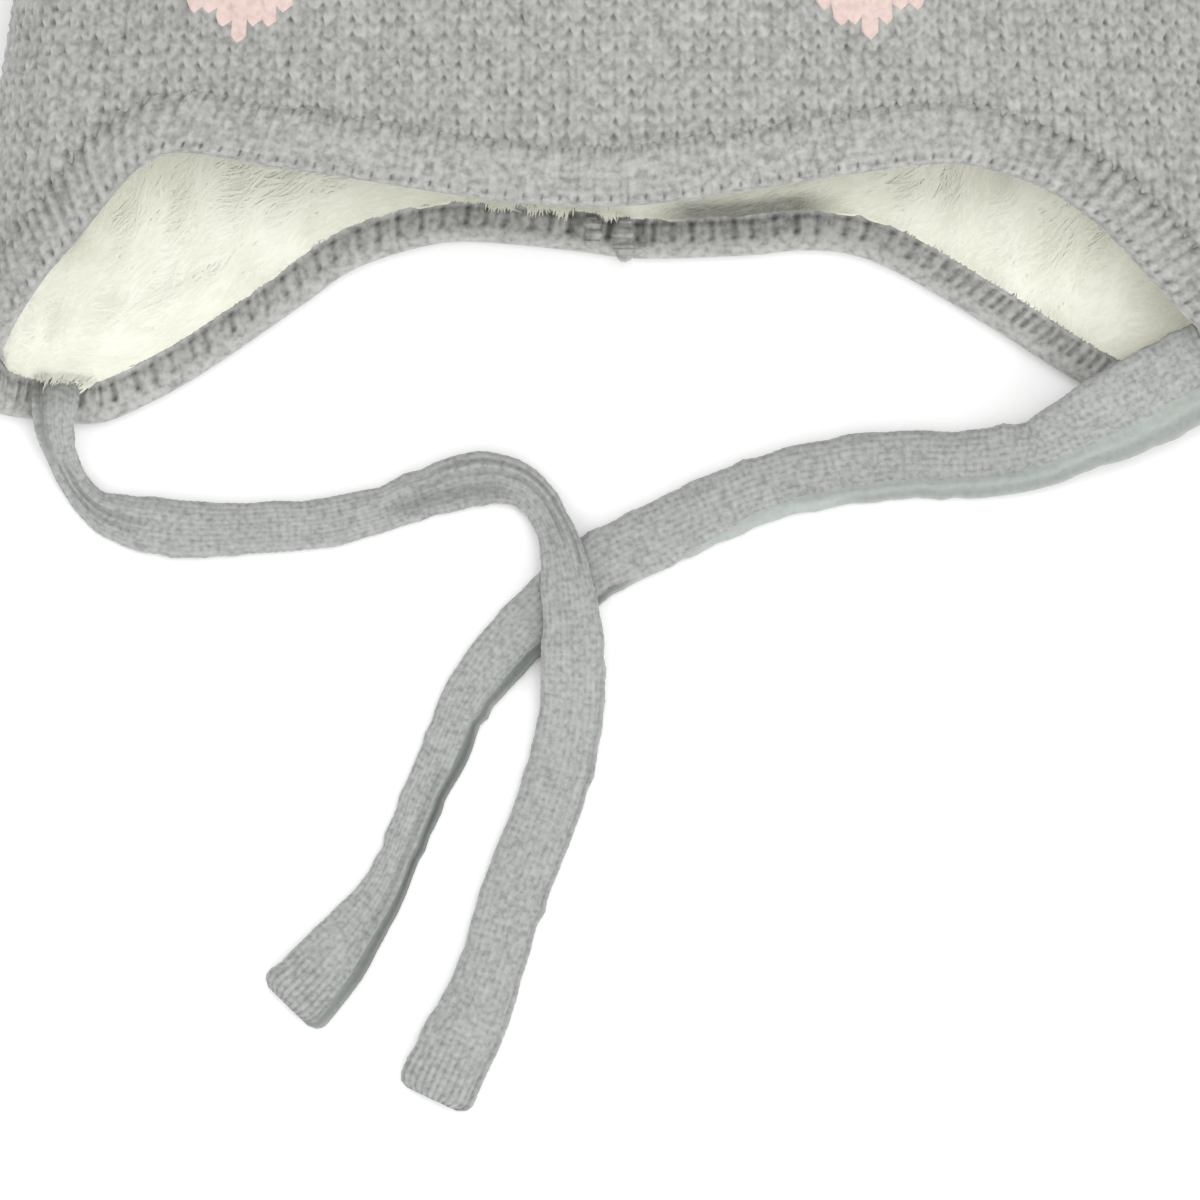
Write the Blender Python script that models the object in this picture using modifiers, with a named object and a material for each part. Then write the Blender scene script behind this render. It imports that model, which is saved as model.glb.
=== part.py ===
"""A knitted baby hat with ear flaps, two ears and two flat ties, lying on its back.

The nape rests on z = 0, the brow faces up and the crown points along +Y.
x = 0 is the middle of the hat, and y = 0 lies half way from the flap tips to the ear tips.
Two coordinates follow the cloth: "share" goes once round the hat, from 0 at the middle of the
nape over 0.25 at the right fold and 0.5 at the middle of the brow to 0.75 at the left fold,
and "up" is the distance above the level of the flap tips, towards the crown. The pieces are
made with y = up, and moved to the middle at the end.
"""
import math

import bmesh
import bpy
import numpy as np
from mathutils import Matrix, Vector

MM = 0.001

# The hat pressed flat
HALF_WIDTH_AT_TIPS = 111.5 * MM
HALF_WIDTH_AT_DOME = 102.5 * MM
DOME_HEIGHT = 120.0 * MM
BROW_TO_DOME = 15.0 * MM
DOME_POWER = 2.4
FOLD_RADIUS = 14.0 * MM
BROW_RISE = 6.0 * MM
CROWN_RISE = 28.0 * MM
CROWN_POLE_HEIGHT = 23.0 * MM

# The cloth
KNIT_WALL = 2.2 * MM
LINING_WALL = 5.0 * MM
BAND_WIDTH = 10.4 * MM
BAND_THICKNESS = 5.0 * MM
FLAP_DROP = 44.7 * MM
CLEARANCE = 0.3 * MM

# The ears
EAR_HALF_WIDTH = 19.0 * MM
EAR_HEIGHT = 28.0 * MM
EAR_THICKNESS = 8.5 * MM
EAR_ALONG_DOME = 0.87

# The ties
TIE_WIDTH = 11.0 * MM
TIE_THICKNESS = 3.2 * MM

# How finely the cloth is divided
RIM_COLUMNS = 80
SIDE_ROWS = 4
DOME_ROWS = 9
TIE_STEP = 6.0 * MM

# The free edge of the rim: share round the hat, rise as a share of FLAP_DROP
RIM = (
    (0.002, 0.612),
    (0.043, 0.624),
    (0.061, 0.642),
    (0.079, 0.627),
    (0.096, 0.557),
    (0.131, 0.333),
    (0.159, 0.140),
    (0.181, 0.035),
    (0.210, 0.000),
    (0.240, 0.025),
    (0.265, 0.110),
    (0.285, 0.230),
    (0.300, 0.340),
    (0.316, 0.528),
    (0.332, 0.709),
    (0.349, 0.834),
    (0.367, 0.904),
    (0.385, 0.935),
    (0.425, 0.888),
    (0.461, 0.826),
    (0.504, 0.776),
    (0.547, 0.798),
    (0.608, 0.891),
    (0.637, 0.937),
    (0.656, 0.973),
    (0.669, 0.975),
    (0.679, 0.918),
    (0.688, 0.810),
    (0.703, 0.594),
    (0.729, 0.288),
    (0.750, 0.125),
    (0.775, 0.040),
    (0.799, 0.008),
    (0.816, 0.000),
    (0.832, 0.072),
    (0.849, 0.177),
    (0.883, 0.434),
    (0.900, 0.564),
    (0.918, 0.635),
    (0.935, 0.672),
    (0.953, 0.668),
    (0.980, 0.640),
)

# The band's section: across as a share of BAND_WIDTH, depth as a share of BAND_THICKNESS
BAND_SECTION = (
    (0.00, 0.50),
    (0.06, 0.16),
    (0.24, 0.00),
    (0.86, 0.00),
    (1.00, 0.14),
    (1.00, 0.86),
    (0.86, 1.00),
    (0.24, 1.00),
    (0.06, 0.84),
)

# The ties' routes in millimetres, as they lie: x, up from the flap tips, lift of the underside
# at the middle, width, and the roll in degrees that drops the edge away from the hat
LEFT_TIE = (
    (-95.7, 4.2, 6.6, 7.6, 0),
    (-95.3, -1.3, 6.2, 7.0, 0),
    (-94.7, -5.7, 3.2, 5.8, 0),
    (-92.3, -10.8, 0.8, 5.8, 0),
    (-87.5, -14.9, 0.1, 7.4, 0),
    (-80.0, -17.0, 0.0, 9.6, 0),
    (-71.7, -17.8, 0.0, 9.6, 0),
    (-61.7, -17.4, 0.0, 8.7, 0),
    (-51.7, -16.8, 0.0, 8.5, 0),
    (-43.2, -14.9, 0.0, 7.9, 0),
    (-34.8, -11.9, 0.0, 8.2, 0),
    (-27.3, -9.6, 0.1, 9.2, 0),
    (-21.4, -9.4, 0.3, 8.2, 0),
    (-16.3, -11.8, 0.9, 6.8, 0),
    (-12.9, -17.0, 2.2, 6.4, 0),
    (-10.9, -23.5, 3.7, 7.8, 0),
    (-9.9, -31.2, 4.0, 9.6, 0),
    (-9.5, -38.8, 3.5, 10.6, 0),
    (-9.7, -46.2, 1.5, 11.0, 0),
    (-10.9, -54.5, 0.2, 11.2, 0),
    (-13.3, -62.7, 0.0, 11.4, 0),
    (-16.4, -70.9, 0.0, 11.2, 0),
    (-19.6, -79.4, 0.0, 11.2, 0),
    (-22.2, -87.7, 0.0, 11.0, 0),
    (-25.1, -96.1, 0.0, 12.0, 0),
    (-28.7, -103.5, 0.0, 13.2, 0),
    (-33.0, -112.6, 0.0, 13.4, 0),
)
RIGHT_TIE = (
    (97.0, 9.6, 8.4, 13.6, 24),
    (88.3, 5.1, 7.9, 14.0, 24),
    (80.0, 0.8, 6.6, 13.2, 20),
    (73.3, -2.4, 4.6, 12.4, 12),
    (67.0, -5.4, 2.2, 11.6, 4),
    (56.7, -6.9, 0.4, 11.5, 0),
    (45.0, -7.0, 0.0, 11.5, 0),
    (36.5, -7.9, 0.0, 11.6, 0),
    (28.0, -9.4, 0.0, 11.3, 0),
    (19.7, -12.0, 0.0, 11.2, 0),
    (11.3, -15.5, 0.0, 11.4, 0),
    (3.0, -19.5, 0.0, 11.2, 0),
    (-5.5, -24.0, 0.0, 11.0, 0),
    (-12.2, -29.5, 0.0, 10.6, 0),
    (-18.0, -35.0, 0.0, 10.2, 0),
    (-23.0, -40.5, 0.0, 9.8, 0),
    (-27.7, -47.2, 0.0, 8.6, 0),
    (-30.8, -54.6, 0.0, 8.0, 0),
    (-34.5, -62.5, 0.0, 7.3, 0),
    (-37.8, -70.4, 0.0, 7.0, 0),
    (-41.3, -77.9, 0.0, 7.6, 0),
    (-45.4, -84.0, 0.0, 9.8, 0),
    (-50.7, -90.8, 0.0, 12.2, 0),
    (-56.9, -97.2, 0.0, 13.4, 0),
)

DOME_START = FLAP_DROP + BAND_WIDTH + BROW_TO_DOME
CROWN_TOP = DOME_START + DOME_HEIGHT
RISE_FROM = FLAP_DROP / 2.0
RISE_TO = DOME_START + DOME_HEIGHT * 0.4
SEAM_WIDTH = BAND_WIDTH + 1.8 * CLEARANCE
TINY = 1e-4


def dome_scale(up):
    """How far the hat has closed towards the crown's pole: 1 below the dome, 0 at the pole."""
    along = min(max((up - DOME_START) / DOME_HEIGHT, 0.0), 1.0)
    return max(1.0 - along ** DOME_POWER, 0.0) ** (1.0 / DOME_POWER)


def section(up):
    """The cross-section at a level: a flat nape, a fold's arc and a wide brow arc, all tangent."""
    half_width = HALF_WIDTH_AT_TIPS + (HALF_WIDTH_AT_DOME - HALF_WIDTH_AT_TIPS) * up / DOME_START
    ramp = min(max((up - RISE_FROM) / (RISE_TO - RISE_FROM), 0.0), 1.0)
    rise = BROW_RISE + (CROWN_RISE - BROW_RISE) * ramp * ramp * (3.0 - 2.0 * ramp)
    flat = half_width - FOLD_RADIUS
    tilt = 2.0 * math.atan(rise / flat)
    brow_radius = (flat + FOLD_RADIUS * math.sin(tilt)) / math.sin(tilt)
    return flat, tilt, brow_radius, 2.0 * FOLD_RADIUS + rise


def girth(up):
    """The length once round the cross-section at a level."""
    flat, tilt, brow_radius, _ = section(up)
    return 2.0 * dome_scale(up) * (flat + FOLD_RADIUS * (math.pi - tilt) + brow_radius * tilt)


def surface(share, up, lift=0.0):
    """A point of the hat's outer surface, or lift away from it along the outward normal."""
    flat, tilt, brow_radius, height = section(up)
    turn = share - round(share)
    half_girth = flat + FOLD_RADIUS * (math.pi - tilt) + brow_radius * tilt
    way = abs(turn) * 2.0 * half_girth
    fold_end = flat + FOLD_RADIUS * (math.pi - tilt)
    if way < flat:
        x, z = way, 0.0
    elif way < fold_end:
        angle = (way - flat) / FOLD_RADIUS
        x = flat + FOLD_RADIUS * math.sin(angle)
        z = FOLD_RADIUS * (1.0 - math.cos(angle))
    else:
        angle = (half_girth - way) / brow_radius
        x = brow_radius * math.sin(angle)
        z = height - brow_radius * (1.0 - math.cos(angle))
    scale = dome_scale(up)
    x = math.copysign(x, turn)
    point = Vector((x * scale, up, CROWN_POLE_HEIGHT + (z - CROWN_POLE_HEIGHT) * scale))
    if lift:
        point += normal(share, up) * lift
    return point


def normal(share, up):
    """The outward direction of the hat's surface."""
    round_step = surface(share + TINY, up) - surface(share - TINY, up)
    up_step = surface(share, up + TINY) - surface(share, up - TINY)
    return up_step.cross(round_step).normalized()


def rim_up(share):
    """The level of the rim's free edge, on a smooth closed curve through the RIM rows."""
    share = share % 1.0
    count = len(RIM)
    after = next((i for i, row in enumerate(RIM) if row[0] > share), count)

    def row(index):
        laps, place = divmod(index, count)
        return RIM[place][0] + laps, RIM[place][1]

    (s0, r0), (s1, r1), (s2, r2), (s3, r3) = (row(after + step) for step in (-2, -1, 0, 1))
    t = (share - s1) / (s2 - s1)
    slope1 = (r2 - r0) / (s2 - s0) * (s2 - s1)
    slope2 = (r3 - r1) / (s3 - s1) * (s2 - s1)
    rise = (
        (2 * t ** 3 - 3 * t ** 2 + 1) * r1
        + (t ** 3 - 2 * t ** 2 + t) * slope1
        + (3 * t ** 2 - 2 * t ** 3) * r2
        + (t ** 3 - t ** 2) * slope2
    )
    return FLAP_DROP * rise


def from_edge(share, across):
    """The cloth's place a given width inside the free edge, measured square to that edge."""
    up = rim_up(share)
    once_round = girth(up)
    along = Vector((2.0 * TINY * once_round, rim_up(share + TINY) - rim_up(share - TINY))).normalized()
    return share - along.y * across / once_round, up + along.x * across


def rim_shares():
    """Places round the rim, evenly spaced along its free edge."""
    steps = np.linspace(0.0, 1.0, 1201)
    levels = np.array([rim_up(share) for share in steps])
    once_round = girth(FLAP_DROP / 2)
    lengths = np.hypot(np.diff(steps) * once_round, np.diff(levels))
    travelled = np.concatenate(([0.0], np.cumsum(lengths)))
    wanted = np.linspace(0.0, travelled[-1], RIM_COLUMNS, endpoint=False)
    return np.interp(wanted, travelled, steps)


def ear_seat(side):
    """Where an ear is sewn: a point of the crown's fold line and the way the ear stands."""
    up = DOME_START + EAR_ALONG_DOME * DOME_HEIGHT
    share = 0.25 if side > 0 else 0.75
    outward = normal(share, up)
    outward.z = 0.0
    return surface(share, up), outward.normalized()


def ear_tip_up():
    """The level that the ears reach, above the flap tips."""
    seat, outward = ear_seat(1)
    return seat.y + math.hypot(EAR_HEIGHT * outward.y, EAR_HALF_WIDTH * outward.x)


def clear_scene():
    for old in list(bpy.data.objects):
        bpy.data.objects.remove(old, do_unlink=True)


def collection(name):
    made = bpy.data.collections.new(name)
    bpy.context.scene.collection.children.link(made)
    return made


def material(name, colour, roughness):
    made = bpy.data.materials.new(name)
    made.use_nodes = True
    shader = made.node_tree.nodes["Principled BSDF"]
    shader.inputs["Base Color"].default_value = (*colour, 1.0)
    shader.inputs["Roughness"].default_value = roughness
    shader.inputs["Metallic"].default_value = 0.0
    return made


def mesh_object(name, shape, finish, group):
    """Turns a bmesh into an object with smooth shading, in a collection."""
    mesh = bpy.data.meshes.new(name)
    shape.to_mesh(mesh)
    shape.free()
    mesh.shade_smooth()
    made = bpy.data.objects.new(name, mesh)
    made.data.materials.append(finish)
    group.objects.link(made)
    return made


def hat_surface():
    """The open outer surface of the hat, from the band's seam line to the crown's pole."""
    shape = bmesh.new()
    rows = []
    columns = [from_edge(share, SEAM_WIDTH) for share in rim_shares()]
    for step in range(SIDE_ROWS + 1):
        rows.append([
            surface(share, up + (DOME_START - up) * step / SIDE_ROWS) for share, up in columns
        ])
    for step in range(1, DOME_ROWS):
        angle = 0.5 * math.pi * step / DOME_ROWS
        up = DOME_START + DOME_HEIGHT * math.sin(angle) ** (2.0 / DOME_POWER)
        rows.append([surface(share, up) for share, _ in columns])
    rings = [[shape.verts.new(point) for point in row] for row in rows]
    pole = shape.verts.new(surface(0.0, CROWN_TOP))
    for low, high in zip(rings, rings[1:]):
        for k in range(RIM_COLUMNS):
            n = (k + 1) % RIM_COLUMNS
            shape.faces.new((low[k], high[k], high[n], low[n]))
    for k in range(RIM_COLUMNS):
        shape.faces.new((rings[-1][k], pole, rings[-1][(k + 1) % RIM_COLUMNS]))
    return shape


def cloth_layer(name, finish, group, outer_depth, thickness):
    """A layer of the hat's cloth, from outer_depth below the outer surface inwards."""
    made = mesh_object(name, hat_surface(), finish, group)
    wall = made.modifiers.new("wall", "SOLIDIFY")
    wall.thickness = thickness
    wall.offset = -1.0 - 2.0 * outer_depth / thickness
    wall.use_even_offset = True
    wall.use_quality_normals = True
    return made


def rim_band(finish, group):
    """The folded rib band, a rounded strip that follows the whole rim."""
    shape = bmesh.new()
    rings = []
    for share in rim_shares():
        ring = []
        for across, depth in BAND_SECTION:
            place = from_edge(share, across * BAND_WIDTH)
            ring.append(shape.verts.new(surface(*place, lift=-depth * BAND_THICKNESS)))
        rings.append(ring)
    count = len(BAND_SECTION)
    for k in range(RIM_COLUMNS):
        near, far = rings[k], rings[(k + 1) % RIM_COLUMNS]
        for i in range(count):
            j = (i + 1) % count
            shape.faces.new((near[i], near[j], far[j], far[i]))
    return mesh_object("rim_band", shape, finish, group)


def crown_cutter(group):
    """A closed solid one clearance larger than the crown, to seat the ears on."""
    shape = hat_surface()
    bmesh.ops.holes_fill(shape, edges=[edge for edge in shape.edges if edge.is_boundary])
    shape.normal_update()
    moves = [(vert, vert.normal * CLEARANCE * 1.2) for vert in shape.verts]
    for vert, move in moves:
        vert.co += move
    made = mesh_object("crown_cutter", shape, material("cutter", (1, 0, 0), 1.0), group)
    made.hide_render = True
    made.display_type = "WIRE"
    return made


def ear(name, side, cutter, finish, group):
    """A rounded, flattened ear of doubled knit, sewn to the crown along its base."""
    seat, outward = ear_seat(side)
    bpy.ops.mesh.primitive_uv_sphere_add(segments=20, ring_count=10, radius=1.0)
    made = bpy.context.object
    made.name = name
    made.data.name = name
    across = outward.cross(Vector((0, 0, 1)))
    frame = Matrix((across, outward, Vector((0, 0, 1)))).transposed().to_4x4()
    sizes = Matrix.Diagonal((EAR_HALF_WIDTH, EAR_HEIGHT, EAR_THICKNESS / 2.0, 1.0))
    made.data.transform(sizes)
    made.matrix_world = Matrix.Translation(seat) @ frame
    made.data.materials.append(finish)
    made.data.shade_smooth()
    for old in list(made.users_collection):
        old.objects.unlink(made)
    group.objects.link(made)
    cut = made.modifiers.new("seat", "BOOLEAN")
    cut.operation = "DIFFERENCE"
    cut.solver = "EXACT"
    cut.object = cutter
    return made


def smooth_route(rows):
    """Stations of a smooth curve through a tie's rows, about TIE_STEP apart."""
    stations = [np.array(row, float) for row in rows]
    padded = [stations[0] * 2 - stations[1], *stations, stations[-1] * 2 - stations[-2]]
    route = []
    for a, b, c, d in zip(padded, padded[1:], padded[2:], padded[3:]):
        pieces = max(1, round(float(np.linalg.norm((c - b)[:3])) * MM / TIE_STEP))
        for piece in range(pieces):
            t = piece / pieces
            route.append(0.5 * (
                2 * b + (c - a) * t + (2 * a - 5 * b + 4 * c - d) * t ** 2
                + (3 * b - a - 3 * c + d) * t ** 3
            ))
    route.append(stations[-1])
    return route


def tie(name, rows, finish, group):
    """A flat knitted tie: a curve with a wide, thin, round-edged section."""
    route = smooth_route(rows)
    curve = bpy.data.curves.new(name, "CURVE")
    curve.dimensions = "3D"
    curve.twist_mode = "Z_UP"
    curve.fill_mode = "FULL"
    curve.bevel_depth = TIE_THICKNESS / 2.0
    curve.extrude = (TIE_WIDTH - TIE_THICKNESS) / 2.0
    curve.bevel_resolution = 1
    curve.use_fill_caps = True
    spline = curve.splines.new("POLY")
    spline.points.add(len(route) - 1)
    for point, (x, up, lift, width, roll) in zip(spline.points, route):
        point.radius = width * MM / TIE_WIDTH
        half_thickness = point.radius * TIE_THICKNESS / 2.0
        point.co = (x * MM, up * MM, max(lift, 0.0) * MM + half_thickness, 1.0)
        point.tilt = math.pi / 2.0 - math.radians(roll)
    made = bpy.data.objects.new(name, curve)
    made.data.materials.append(finish)
    group.objects.link(made)
    return made


clear_scene()
hat = collection("baby_hat")
tools = collection("cutters")
grey_knit = material("grey_melange_knit", (0.42, 0.42, 0.40), 0.9)
grey_rib = material("grey_rib_knit", (0.40, 0.40, 0.39), 0.9)
grey_tape = material("grey_knit_tape", (0.43, 0.44, 0.42), 0.9)
cream_plush = material("cream_plush", (0.82, 0.82, 0.74), 0.95)

cloth_layer("knitted_body", grey_knit, hat, 0.0, KNIT_WALL)
cloth_layer("plush_lining", cream_plush, hat, KNIT_WALL + CLEARANCE, LINING_WALL)
rim_band(grey_rib, hat)
cutter = crown_cutter(tools)
ear("left_ear", -1, cutter, grey_knit, hat)
ear("right_ear", 1, cutter, grey_knit, hat)
tie("left_tie", LEFT_TIE, grey_tape, hat)
tie("right_tie", RIGHT_TIE, grey_tape, hat)

MIDDLE = ear_tip_up() / 2.0
for piece in (*hat.objects, cutter):
    piece.location.y -= MIDDLE
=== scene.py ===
"""A grey knitted baby hat with ears, ear flaps, a plush lining and flat ties, lying on its back.

Everything is in metres in the part's frame: the nape rests on z = 0 and the crown points
along +Y. On the hat's cloth, "share" goes once round the hat, from the middle of the nape (0)
over the right fold (0.25) and the middle of the brow (0.5) to the left fold (0.75), and "up"
is the distance above the level of the flap tips.
"""

import math

import bpy
import numpy as np
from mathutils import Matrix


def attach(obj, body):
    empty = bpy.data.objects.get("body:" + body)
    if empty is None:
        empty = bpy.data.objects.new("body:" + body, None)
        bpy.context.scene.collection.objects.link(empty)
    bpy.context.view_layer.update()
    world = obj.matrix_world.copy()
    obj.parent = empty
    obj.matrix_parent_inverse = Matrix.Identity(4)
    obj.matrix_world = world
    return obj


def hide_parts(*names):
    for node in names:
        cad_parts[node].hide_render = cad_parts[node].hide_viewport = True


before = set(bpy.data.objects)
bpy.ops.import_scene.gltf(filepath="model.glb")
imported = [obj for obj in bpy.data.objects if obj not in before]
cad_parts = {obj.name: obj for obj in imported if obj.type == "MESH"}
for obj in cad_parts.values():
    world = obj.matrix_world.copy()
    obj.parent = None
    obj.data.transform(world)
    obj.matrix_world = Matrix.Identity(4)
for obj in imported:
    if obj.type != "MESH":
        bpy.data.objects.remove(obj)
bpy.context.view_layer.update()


# The table and the view. The hat lies on a smooth white table and is seen from straight above,
# so near that the crown and the outer sides of the flaps are outside the picture. Daylight
# comes softly from the upper left, and a white room fills the shadows.
FLAP_LEVEL = -0.0998
TABLE_SIZE = 6.0
TABLE_DROP = 0.0002
VIEW_HEIGHT = 2.0
VIEW_X, VIEW_UP = -0.005, -0.0295
VIEW_LENS_MM = 360


def linear(hex_colour):
    """An sRGB hex colour as linear red, green, blue and alpha."""
    levels = [int(hex_colour[i:i + 2], 16) / 255 for i in (1, 3, 5)]
    return [v / 12.92 if v <= 0.04045 else ((v + 0.055) / 1.055) ** 2.4 for v in levels] + [1.0]


def new_finish(name, roughness, sheen=0.0):
    """A material with a Principled shader, and the shader."""
    made = bpy.data.materials.new(name)
    made.use_nodes = True
    shader = made.node_tree.nodes["Principled BSDF"]
    shader.inputs["Roughness"].default_value = roughness
    shader.inputs["Sheen Weight"].default_value = sheen
    shader.inputs["Sheen Roughness"].default_value = 0.5
    shader.inputs["Specular IOR Level"].default_value = 0.2
    return made, shader


def add(finish, kind, settings=(), **links):
    """Adds a node. Settings are named properties, and links are inputs by name or number."""
    made = finish.node_tree.nodes.new(kind)
    for name, value in dict(settings).items():
        setattr(made, name, value)
    for name, value in links.items():
        place = int(name[1:]) if name[0] == "i" and name[1:].isdigit() else name.replace("_", " ")
        if isinstance(value, bpy.types.NodeSocket):
            finish.node_tree.links.new(value, made.inputs[place])
        else:
            made.inputs[place].default_value = value
    return made.outputs


# Melamine-faced board: white, faintly uneven in patches about 25 mm across, and matt enough to
# show no reflections.
white_board, board_shader = new_finish("white_melamine_board", 0.75)
board_grain = add(white_board, "ShaderNodeTexNoise", Scale=40.0, Detail=2.0)
board_tone = add(
    white_board, "ShaderNodeMix", {"data_type": "RGBA"},
    i0=board_grain["Fac"], i6=linear("#FDFDFD"), i7=linear("#FFFFFF"),
)
white_board.node_tree.links.new(board_tone[2], board_shader.inputs["Base Color"])

table_mesh = bpy.data.meshes.new("table")
half = TABLE_SIZE / 2
table_mesh.from_pydata(
    [(x, y, -TABLE_DROP) for x, y in ((-half, -half), (half, -half), (half, half), (-half, half))],
    [], [(0, 1, 2, 3)],
)
table = bpy.data.objects.new("table", table_mesh)
table.data.materials.append(white_board)
bpy.context.scene.collection.objects.link(table)

room = bpy.data.worlds.new("white_room")
room.use_nodes = True
room.node_tree.nodes["Background"].inputs["Color"].default_value = linear("#FFFFFF")
room.node_tree.nodes["Background"].inputs["Strength"].default_value = 0.92
bpy.context.scene.world = room
bpy.context.scene.view_settings.view_transform = "Standard"

for lamp_name, place, size, power in (
    ("skylight", (0.18, 0.16, 1.60), 0.90, 7.0),
    ("window", (-0.90, 0.35, 0.60), 0.50, 1.2),
    ("room_front", (0.42, -1.10, 0.42), 0.80, 4.7),
):
    lamp = bpy.data.objects.new(lamp_name, bpy.data.lights.new(lamp_name, "AREA"))
    lamp.data.shape = "DISK"
    lamp.data.size = size
    lamp.data.energy = power
    lamp.location = place
    aim = np.array((0.0, -0.06, 0.0)) - np.array(place)
    lamp.rotation_euler = (
        math.atan2(math.hypot(aim[0], aim[1]), -aim[2]), 0.0, math.atan2(aim[1], aim[0]) - math.pi / 2,
    )
    bpy.context.scene.collection.objects.link(lamp)

camera = bpy.data.objects.new("camera", bpy.data.cameras.new("camera"))
camera.data.lens = VIEW_LENS_MM
camera.data.clip_end = 20.0
camera.location = (VIEW_X, FLAP_LEVEL + VIEW_UP, VIEW_HEIGHT)
camera.rotation_euler = (0.0, 0.0, 0.0)
bpy.context.scene.collection.objects.link(camera)
bpy.context.scene.camera = camera


# The ties. Each is a narrow tube of fine knit pressed flat, sewn inside a flap tip and left
# loose on the table. It is folded narrower where it turns and spreads at its open end.
TIE_WIDTH = 0.011
TIE_THICKNESS = 0.0032
TIE_WALES = 24
TIE_COURSE = 0.0013
TIE_RELIEF = 0.00014
TIE_CORNER = 0.0024
TIE_WAVER = 0.00028
WAVER_KNOTS = 90
ROLL_TAPER = 0.018
CREASE_TAPER = 0.006
# Along the tie: x, up, lift of the underside, width, and the roll in degrees that drops the
# edge away from the hat.
LEFT_TIE = (
    (-0.0957, 0.0082, 0.0010, 0.0074, 0),
    (-0.0955, 0.0042, 0.0066, 0.0080, 0),
    (-0.0955, -0.0013, 0.0062, 0.0070, 0),
    (-0.0945, -0.0057, 0.0032, 0.0052, 0),
    (-0.0921, -0.0108, 0.0008, 0.0050, 0),
    (-0.0875, -0.0149, 0.0001, 0.0072, 0),
    (-0.0800, -0.0170, 0.0000, 0.0096, 0),
    (-0.0717, -0.0178, 0.0000, 0.0096, 0),
    (-0.0617, -0.0174, 0.0000, 0.0087, 0),
    (-0.0517, -0.0168, 0.0000, 0.0085, 0),
    (-0.0432, -0.0149, 0.0000, 0.0079, 0),
    (-0.0348, -0.0119, 0.0000, 0.0082, 0),
    (-0.0273, -0.0096, 0.0001, 0.0092, 0),
    (-0.0214, -0.0094, 0.0003, 0.0082, 0),
    (-0.0163, -0.0118, 0.0009, 0.0068, 0),
    (-0.0129, -0.0170, 0.0022, 0.0064, 0),
    (-0.0109, -0.0235, 0.0037, 0.0078, 0),
    (-0.0099, -0.0312, 0.0040, 0.0096, 0),
    (-0.0095, -0.0388, 0.0035, 0.0106, 0),
    (-0.0097, -0.0462, 0.0015, 0.0110, 0),
    (-0.0109, -0.0545, 0.0002, 0.0112, 0),
    (-0.0133, -0.0627, 0.0000, 0.0114, 0),
    (-0.0164, -0.0709, 0.0000, 0.0112, 0),
    (-0.0196, -0.0794, 0.0000, 0.0112, 0),
    (-0.0222, -0.0877, 0.0000, 0.0110, 0),
    (-0.0251, -0.0961, 0.0000, 0.0120, 0),
    (-0.0287, -0.1035, 0.0000, 0.0132, 0),
    (-0.0330, -0.1126, 0.0000, 0.0134, 0),
)
RIGHT_TIE = (
    (0.0970, 0.0096, 0.0084, 0.0172, 24),
    (0.0883, 0.0051, 0.0079, 0.0172, 24),
    (0.0800, 0.0008, 0.0066, 0.0158, 20),
    (0.0733, -0.0024, 0.0046, 0.0130, 12),
    (0.0670, -0.0054, 0.0022, 0.0116, 4),
    (0.0567, -0.0069, 0.0004, 0.0115, 0),
    (0.0450, -0.0070, 0.0000, 0.0115, 0),
    (0.0365, -0.0079, 0.0000, 0.0116, 0),
    (0.0280, -0.0094, 0.0000, 0.0113, 0),
    (0.0197, -0.0120, 0.0000, 0.0112, 0),
    (0.0113, -0.0155, 0.0000, 0.0114, 0),
    (0.0030, -0.0195, 0.0000, 0.0112, 0),
    (-0.0055, -0.0240, 0.0000, 0.0110, 0),
    (-0.0122, -0.0295, 0.0000, 0.0106, 0),
    (-0.0180, -0.0350, 0.0000, 0.0102, 0),
    (-0.0230, -0.0405, 0.0000, 0.0098, 0),
    (-0.0277, -0.0472, 0.0000, 0.0086, 0),
    (-0.0308, -0.0546, 0.0000, 0.0080, 0),
    (-0.0345, -0.0625, 0.0000, 0.0073, 0),
    (-0.0378, -0.0704, 0.0000, 0.0070, 0),
    (-0.0413, -0.0779, 0.0000, 0.0076, 0),
    (-0.0454, -0.0840, 0.0000, 0.0098, 0),
    (-0.0507, -0.0908, 0.0000, 0.0122, 0),
    (-0.0569, -0.0972, 0.0000, 0.0134, 0),
)


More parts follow.
